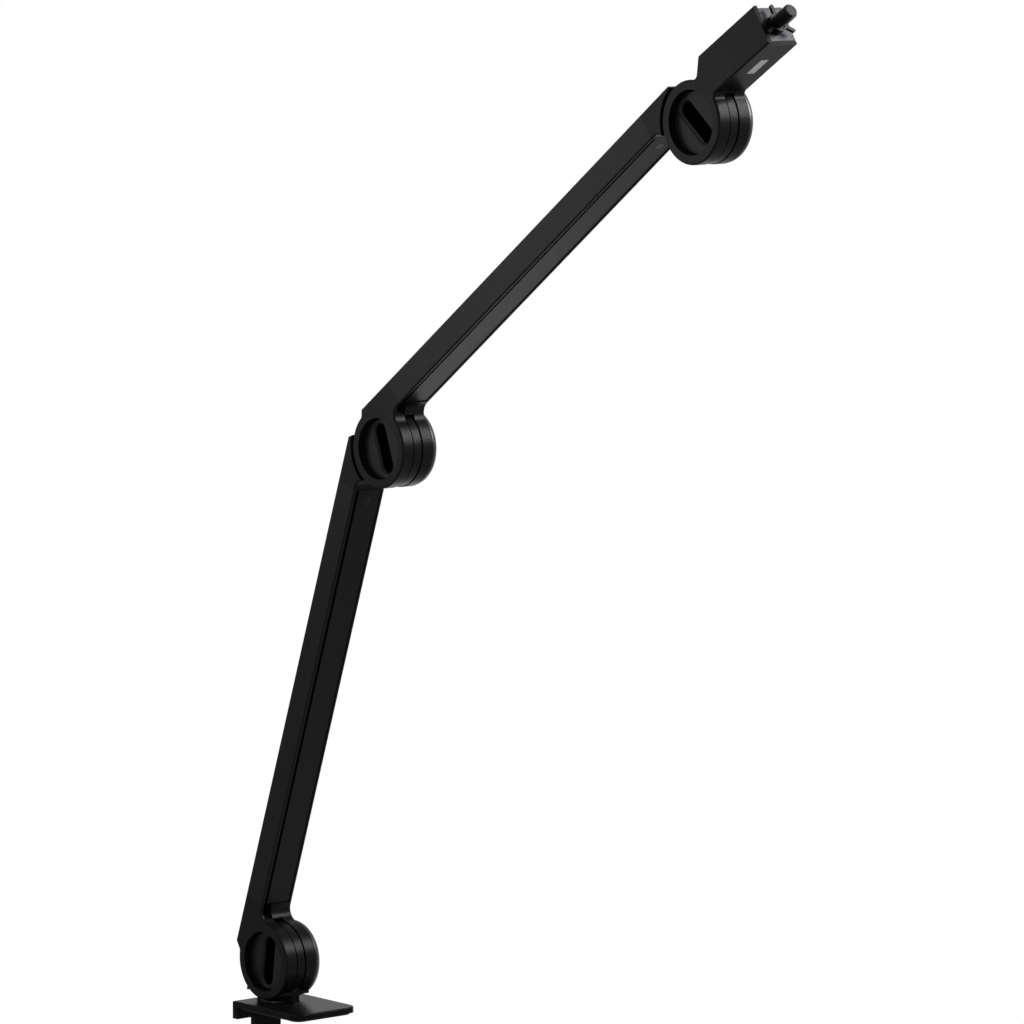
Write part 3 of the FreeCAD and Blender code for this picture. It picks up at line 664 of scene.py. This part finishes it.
@dataclass
class Head:
    """Head casting with its stud and the three-armed lock nut, in millimetres."""

    limb: Limb
    length: float = 83.8
    stud_offset: float = -17.75
    stud_radius: float = 4.76
    stud_root: float = 3.79
    stud_pitch: float = 1.5875
    stud_length: float = 19.0
    stud_buried: float = 22.0
    neck_radius: float = 3.8
    neck_low: float = 5.2
    neck_high: float = 8.6
    tip_chamfer: float = 1.0

    @property
    def stud_place(self) -> Matrix:
        """Matrix to the stud's axis at the end of the head."""
        return self.limb.at(self.stud_offset, 0.0, self.length)

    def stud(self, shop: Workshop) -> None:
        """Stud with a cut thread on both sides of its neck.

        Args:
            shop: Workshop that makes the pieces and materials.
        """
        cut = (self.stud_radius, self.stud_root, self.stud_pitch)
        form = Thread(*cut, low=-self.stud_buried, high=self.neck_low).build()
        join(form, lathe([(0.0, self.neck_low), (self.neck_radius, self.neck_low),
                          (self.neck_radius, self.neck_high), (0.0, self.neck_high)]))
        upper = Thread(*cut, low=self.neck_high, high=self.stud_length).build()
        for vert in upper.verts:
            limit = self.stud_radius - max(0.0, vert.co.z - self.stud_length + self.tip_chamfer)
            reach = vert.co.xy.length
            if reach > limit:
                vert.co.xy *= limit / reach
        join(form, upper)
        made = shop.piece("threaded_stud", form, self.stud_place, OXIDE_STEEL)
        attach(made, "head")
        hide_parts("mic_stud")

    def build(self, shop: Workshop) -> None:
        """Makes and dresses the head.

        Args:
            shop: Workshop that makes the pieces and materials.
        """
        shop.dress("head_body", CAST_COAT)
        shop.dress("head_end_plate", DYED_PLATE)
        shop.dress("head_inlay", TUMBLED_PLATE)
        self.stud(shop)
        shop.dress("stud_lock_nut", OXIDE_STEEL)


@dataclass
class DeskClamp:
    """Clamp with its pads, screw and hand knob, in millimetres."""

    screw_x: float = 9.0
    screw_radius: float = 5.0
    screw_root: float = 3.5
    screw_pitch: float = 3.0
    screw_low: float = -119.0
    screw_high: float = -48.0
    screw_flat_share: float = 0.34
    tip_radius: float = 3.45
    tip_length: float = 4.0
    tip_sunk: float = 0.5

    def screw(self, shop: Workshop) -> None:
        """Clamp screw with a trapezoid thread and a plain tip.

        Args:
            shop: Workshop that makes the pieces and materials.
        """
        form = Thread(self.screw_radius, self.screw_root, self.screw_pitch, self.screw_low, self.screw_high,
                      crest_share=self.screw_flat_share, root_share=self.screw_flat_share).build()
        foot, tip = self.screw_high - self.tip_sunk, self.screw_high + self.tip_length
        join(form, lathe([(0.0, foot), (self.tip_radius, foot), (self.tip_radius, tip), (0.0, tip)]))
        place = Matrix.Translation((self.screw_x * MM, 0, 0))
        made = shop.piece("threaded_clamp_screw", form, place, ZINC_STEEL)
        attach(made, "clamp_screw")
        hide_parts("clamp_screw")

    def build(self, shop: Workshop) -> None:
        """Makes and dresses the clamp.

        Args:
            shop: Workshop that makes the pieces and materials.
        """
        shop.dress("clamp_frame", CLAMP_PAINT)
        shop.dress("pedestal", CAST_COAT)
        shop.dress("jaw_pad", PAD_RUBBER)
        shop.dress("pressure_pad_rubber", PAD_RUBBER)
        shop.dress("pressure_pad", ZINC_STEEL)
        shop.dress("clamp_nut", ZINC_STEEL)
        shop.dress("swivel_screw", ZINC_STEEL)
        shop.dress("swivel_washer", ACETAL)
        shop.dress("clamp_hand_knob", GRIP_NYLON)
        self.screw(shop)


@dataclass(frozen=True)
class Softbox:
    """Square area light with its place, aim and size in metres, and its power."""

    name: str
    place: tuple[float, float, float]
    aim: tuple[float, float, float]
    size: float
    watts: float

    def build(self) -> None:
        """Adds the light to the scene."""
        data = bpy.data.lights.new(self.name, "AREA")
        data.size = self.size
        data.energy = self.watts
        lamp = bpy.data.objects.new(self.name, data)
        lamp.location = self.place
        lamp.visible_camera = False
        lamp.rotation_euler = (Vector(self.aim) - Vector(self.place)).to_track_quat("-Z", "Y").to_euler()
        bpy.context.scene.collection.objects.link(lamp)


@dataclass
class Studio:
    """Camera, lights, floor and white surround. Lengths are in metres, angles in degrees."""

    camera_place: tuple[float, float, float] = (3.28824, -2.5756, 0.81109)
    azimuth: float = 49.75
    pitch: float = 6.46
    focal_pixels: float = 6243.03
    sight: float = 60.0
    floor_height: float = -0.1275
    floor_size: float = 14.0
    floor_cells: int = 2
    floor_lit: float = 0.32
    floor_white: float = 0.54
    fill: float = 0.18
    fill_colour: str = "#f4f5f7"
    white_colour: str = "#ffffff"
    paper_colour: str = "#f2f2f2"
    lights: list[Softbox] = field(default_factory=lambda: [
        Softbox("side_card", place=(-0.56, -0.77, 0.52), aim=(0.28, 0.0, 0.5), size=0.46, watts=3.0),
        Softbox("front_softbox", place=(1.05, -2.0, 0.5), aim=(0.22, 0.0, 0.4), size=0.8, watts=17.0),
        Softbox("top_softbox", place=(0.45, -0.9, 2.0), aim=(0.3, 0.0, 0.4), size=1.0, watts=14.0),
        Softbox("rim_softbox", place=(1.2, 1.08, 1.2), aim=(0.25, 0.0, 0.42), size=0.75, watts=60.0),
        Softbox("low_card", place=(-0.13, 0.5, -0.1), aim=(0.28, 0.0, 0.5), size=0.34, watts=0.6),
    ])

    def camera(self) -> None:
        """Camera at the photograph's place."""
        data = bpy.data.cameras.new("photo_camera")
        data.sensor_fit = "HORIZONTAL"
        data.sensor_width = SENSOR_MM
        data.lens = self.focal_pixels / FRAME_PIXELS * SENSOR_MM
        data.clip_end = self.sight
        made = bpy.data.objects.new("photo_camera", data)
        made.location = self.camera_place
        made.rotation_euler = (math.radians(RIGHT_ANGLE - self.pitch), 0.0, math.radians(self.azimuth))
        bpy.context.scene.collection.objects.link(made)
        bpy.context.scene.camera = made

    def seen_white(self, tree: bpy.types.NodeTree, lit: bpy.types.NodeSocket,
                   white: bpy.types.NodeSocket) -> bpy.types.NodeSocket:
        """Shader that is white where it is seen, also in mirrors and through glass, and lit elsewhere.

        Args:
            tree: Node tree of the material or world.
            lit: Shader for the light on the object.
            white: Shader for what is seen.

        Returns:
            The mixed shader.
        """
        path = put(tree, "ShaderNodeLightPath").outputs
        seen = path["Is Camera Ray"]
        for ray in ("Is Glossy Ray", "Is Transmission Ray"):
            seen = put(tree, "ShaderNodeMath", {0: seen, 1: path[ray]}, operation="MAXIMUM").outputs[0]
        return put(tree, "ShaderNodeMixShader", {0: seen, 1: lit, 2: white}).outputs[0]

    def surround(self) -> None:
        """White surround with a plain, even fill."""
        world = bpy.data.worlds.new("white_studio")
        bpy.context.scene.world = world
        world.use_nodes = True
        tree = world.node_tree
        tree.nodes.clear()
        fill = put(tree, "ShaderNodeBackground", {
            "Color": linear(self.fill_colour), "Strength": self.fill}).outputs[0]
        white = put(tree, "ShaderNodeBackground", {
            "Color": linear(self.white_colour), "Strength": 1.0}).outputs[0]
        put(tree, "ShaderNodeOutputWorld", {"Surface": self.seen_white(tree, fill, white)})

    def floor(self) -> None:
        """Pale floor under the clamp, which keeps the shadow."""
        form = bmesh.new()
        bmesh.ops.create_grid(form, x_segments=self.floor_cells, y_segments=self.floor_cells,
                              size=self.floor_size / 2,
                              matrix=Matrix.Translation((0.0, 0.0, self.floor_height)))
        mesh = bpy.data.meshes.new("studio_floor")
        form.to_mesh(mesh)
        form.free()
        made = bpy.data.objects.new("studio_floor", mesh)
        bpy.context.scene.collection.objects.link(made)
        material = bpy.data.materials.new("pale_studio_floor")
        material.use_nodes = True
        tree = material.node_tree
        tree.nodes.clear()
        paper = put(tree, "ShaderNodeBsdfDiffuse", {"Color": linear(self.paper_colour)}).outputs[0]
        glow = put(tree, "ShaderNodeEmission", {
            "Color": linear(self.white_colour), "Strength": 1.0}).outputs[0]
        place = put(tree, "ShaderNodeTexCoord").outputs["Object"]
        level = put(tree, "ShaderNodeVectorMath", {0: place, 1: (1.0, 1.0, 0.0)},
                    operation="MULTIPLY").outputs[0]
        reach = put(tree, "ShaderNodeVectorMath", {0: level}, operation="LENGTH").outputs["Value"]
        far = put(tree, "ShaderNodeMapRange", {
            "Value": reach, "From Min": self.floor_lit, "From Max": self.floor_white},
            interpolation_type="SMOOTHSTEP").outputs[0]
        sweep = put(tree, "ShaderNodeMixShader", {0: far, 1: paper, 2: glow}).outputs[0]
        put(tree, "ShaderNodeOutputMaterial", {"Surface": self.seen_white(tree, paper, sweep)})
        mesh.materials.append(material)

    def build(self) -> None:
        """Sets up the studio."""
        bpy.context.scene.view_settings.view_transform = "Standard"
        self.camera()
        self.surround()
        self.floor()
        for light in self.lights:
            light.build()


def main() -> None:
    """Builds the boom arm piece by piece in its studio."""
    logging.basicConfig(level=logging.INFO)
    shop = Workshop()
    shoulder, elbow, wrist = (joint_place(name) for name in HINGES)
    stud = Vector(next(m["axis"] for m in frame["record"]["mounts"] if m["name"] == "mic_stud"))
    DeskClamp().build(shop)
    for name in HINGES:
        Hinge(name).build(shop)
    Arm("lower_arm", shoulder, elbow, offset=22.4).build(shop)
    Arm("upper_arm", elbow, wrist, offset=21.2).build(shop)
    Head(Limb(wrist, math.atan2(stud.x, stud.z))).build(shop)
    Studio().build()


if __name__ == "__main__":
    main()
